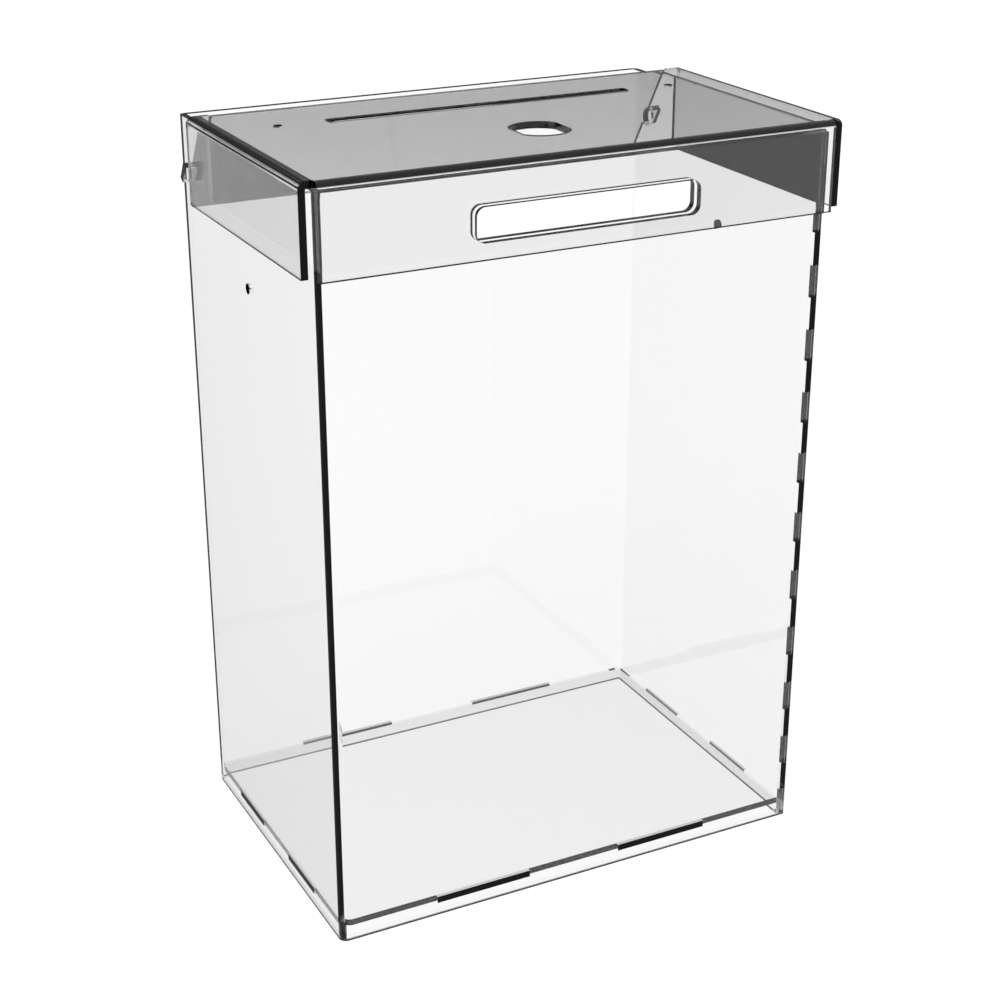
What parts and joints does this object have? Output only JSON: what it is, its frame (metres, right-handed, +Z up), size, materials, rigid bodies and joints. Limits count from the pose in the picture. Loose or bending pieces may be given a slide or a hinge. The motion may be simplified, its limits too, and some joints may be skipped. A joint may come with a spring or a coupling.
{
  "type": "donation box",
  "caption": "Tall clear acrylic donation box with a wrapped finger-jointed wall, a raised tabbed base and a slotted hinged lid with hand-hold and lock hole.",
  "frame": {"origin": "on the table, midway across the outline that the box and its overhanging lid make together", "axes": "+X to the right seen from the front, +Y from the front (hand-hold) to the back (hinge), +Z up"},
  "size_m": [0.318, 0.2106, 0.4387],
  "materials": {
    "clear_acrylic": "clear cast acrylic sheet, polished faces and clear laser-cut edges"
  },
  "bodies": {
    "box": {"wall_wrap": "clear_acrylic", "base_panel": "clear_acrylic"},
    "lid": {"lid": "clear_acrylic"}
  },
  "joints": [
    {"name": "lid_hinge", "type": "hinge", "parent": "box", "child": "lid", "pos_m": [0, 0.0843, 0.4032], "axis": [-1, 0, 0], "range_deg": [0, 58]}
  ]
}
